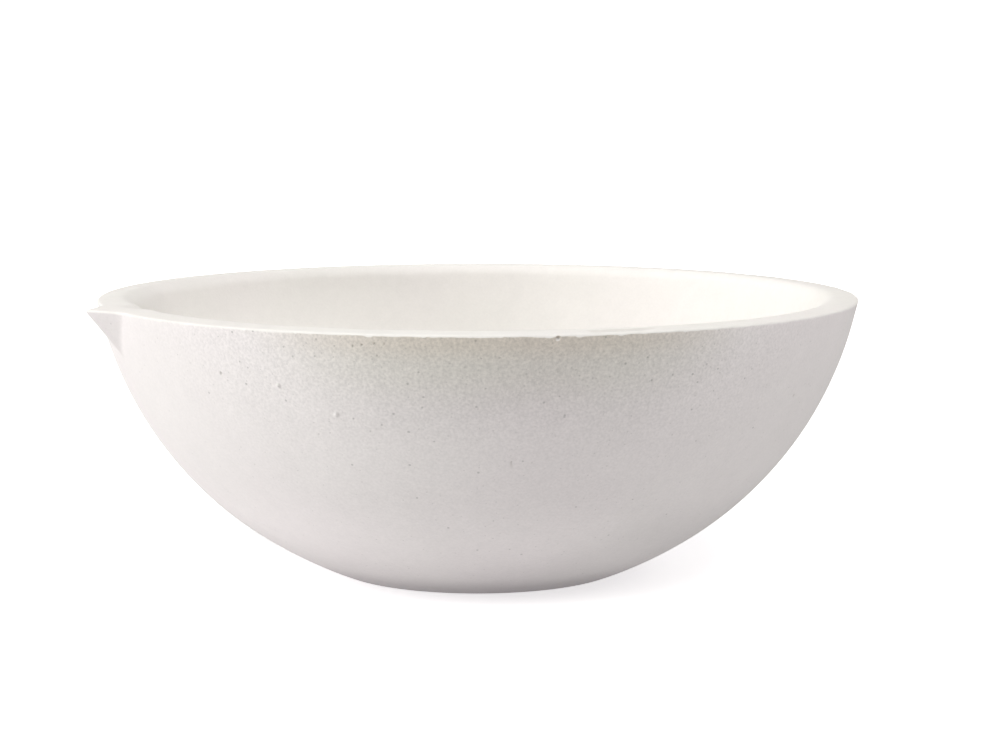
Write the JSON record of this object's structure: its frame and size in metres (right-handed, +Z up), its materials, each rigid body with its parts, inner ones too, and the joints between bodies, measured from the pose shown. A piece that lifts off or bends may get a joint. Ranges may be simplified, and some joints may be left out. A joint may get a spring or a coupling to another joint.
{
  "type": "evaporating dish",
  "caption": "Round-bottomed laboratory evaporating dish of thick matt white ceramic, with a flat foot, a ground rim and a small V-shaped pouring beak.",
  "frame": {"origin": "centre of the flat foot, on the surface that the dish stands on", "axes": "+Z up along the bowl's axis, out of the open mouth; -X towards the pouring beak"},
  "size_m": [0.1234, 0.1196, 0.044],
  "materials": {
    "ceramic": "matte"
  },
  "bodies": {
    "root": {"dish": "ceramic"}
  },
  "joints": []
}
